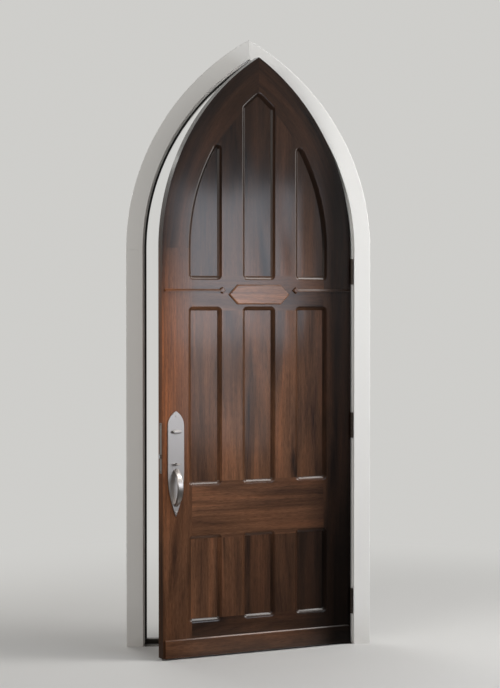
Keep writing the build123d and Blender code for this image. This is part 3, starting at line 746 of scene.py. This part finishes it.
# Wood screws
# Countersunk steel screws hold the hinges, the strike and the lock's edge plate.
# One is turned to shape, its cross recess is pressed in, and it is then driven into every hole.

head_radius = 0.0042
head_edge = 0.0004
head_height = 0.0034
shank_radius = 0.0021
thread_length = 0.020
screw_length = 0.030
point_length = 0.004
thread_narrows_to = 0.85
point_narrows_to = 0.15
recess_width = 0.0013
recess_length = 0.0048
recess_depth = 0.0022
screw_easing = 0.00018
flat_head_depth = 0.0002
turn_between_screws = 0.9
screw_colour = (0.16, 0.14, 0.12)

bpy.ops.mesh.primitive_cylinder_add(
    vertices=32, radius=head_radius, depth=head_edge, location=(0, 0, -head_edge / 2)
)
screw = bpy.context.object
screw.name = "turned_screw"
bpy.ops.object.transform_apply(location=True)
for vertex in screw.data.vertices:
    vertex.select = vertex.co.z < -head_edge / 2
for edge in screw.data.edges:
    edge.select = all(screw.data.vertices[index].select for index in edge.vertices)
for face in screw.data.polygons:
    face.select = all(screw.data.vertices[index].select for index in face.vertices)
bpy.ops.object.mode_set(mode="EDIT")
for drop, narrows_to in (
    (head_height - head_edge, shank_radius / head_radius),
    (screw_length - head_height - thread_length, 1.0),
    (thread_length - point_length, thread_narrows_to),
    (point_length, point_narrows_to),
):
    bpy.ops.mesh.extrude_region_move(TRANSFORM_OT_translate={"value": (0, 0, -drop)})
    bpy.ops.transform.resize(value=(narrows_to, narrows_to, 1), center_override=(0, 0, 0))
bpy.ops.object.mode_set(mode="OBJECT")
for arm in ((recess_length, recess_width), (recess_width, recess_length)):
    bpy.ops.mesh.primitive_cube_add(size=1, location=(0, 0, 0), scale=(*arm, 2 * recess_depth))
    punch = bpy.context.object
    only(screw)
    recess = screw.modifiers.new("recess", "BOOLEAN")
    recess.operation = "DIFFERENCE"
    recess.object = punch
    bpy.ops.object.modifier_apply(modifier="recess")
    only(punch)
    bpy.ops.object.delete()
ease_edges(screw, screw_easing, angle=40)

screw_steel = plain_finish("oxide_steel", screw_colour, 0.4, metallic=0.9)
for name in ("frame_screws", "leaf_screws"):
    only(frame["nodes"][name])
    bpy.ops.object.duplicate()
    bpy.ops.object.mode_set(mode="EDIT")
    bpy.ops.mesh.select_all(action="SELECT")
    bpy.ops.mesh.remove_doubles(threshold=weld_distance)
    bpy.ops.mesh.separate(type="LOOSE")
    bpy.ops.object.mode_set(mode="OBJECT")
    driven = []
    for number, blank in enumerate(list(bpy.context.selected_objects)):
        points = [blank.matrix_world @ vertex.co for vertex in blank.data.vertices]
        middle = sum(points, Vector()) / len(points)
        inward = Vector((math.copysign(1, middle.x), 0, 0))
        if name == "leaf_screws":
            inward = open_leaf.to_3x3() @ -inward
        nearest = min(point.dot(inward) for point in points)
        head = [point for point in points if point.dot(inward) < nearest + flat_head_depth]
        only(screw)
        bpy.ops.object.duplicate()
        copy = bpy.context.object
        copy.matrix_world = (
            Matrix.Translation(sum(head, Vector()) / len(head))
            @ inward.to_track_quat("-Z", "Y").to_matrix().to_4x4()
            @ Matrix.Rotation(number * turn_between_screws, 4, "Z")
        )
        bpy.ops.object.transform_apply(location=True, rotation=True, scale=True)
        driven.append(copy)
        only(blank)
        bpy.ops.object.delete()
    only(driven[0])
    for copy in driven:
        copy.select_set(True)
    bpy.ops.object.join()
    driven[0].name = f"{name}_worked"
    hang_in_place(driven[0], screw_steel, name)
only(screw)
bpy.ops.object.delete()


# Lock and strike
# A mortise lock in the latch stile: steel case and bolts behind a nickel edge plate.
# The strike on the jamb matches the edge plate.

nickel_colour = (0.47, 0.44, 0.42)
steel_colour = (0.50, 0.49, 0.47)
edge_plate_easing = 0.0004
bolt_easing = 0.0005

nickel = plain_finish("satin_nickel", nickel_colour, 0.36, metallic=1.0, cloudiness=0.03, cloud_scale=35)
steel = plain_finish("plain_steel", steel_colour, 0.34, metallic=1.0)
for name in ("lock_faceplate", "strike_plate", "lock_cylinder"):
    piece = worked_copy(name)
    ease_edges(piece, edge_plate_easing, angle=40)
    hang_in_place(piece, nickel, name)
for name in ("lock_case", "latch_bolt", "deadbolt"):
    piece = worked_copy(name)
    ease_edges(piece, bolt_easing)
    hang_in_place(piece, steel, name)


# Handle set
# Long pointed plates on both faces of the leaf, bolted through, each with a bowed grip and a thumb piece.
# The inner plate also carries the thumb turn; all of it is cast brass with satin nickel plating.

handle_easings = {
    "inside_plate": 0.0008,
    "outside_plate": 0.0008,
    "plate_bolts": 0.0005,
    "inside_grip": 0.0025,
    "outside_grip": 0.0025,
    "inside_thumb_piece": 0.0012,
    "outside_thumb_piece": 0.0012,
    "thumb_turn": 0.0015,
}

for name, easing in handle_easings.items():
    piece = worked_copy(name)
    ease_edges(piece, easing, steps=3, angle=30)
    hang_in_place(piece, nickel, name)


# The finished door has to stay inside the CAD model's box.

bpy.context.view_layer.update()
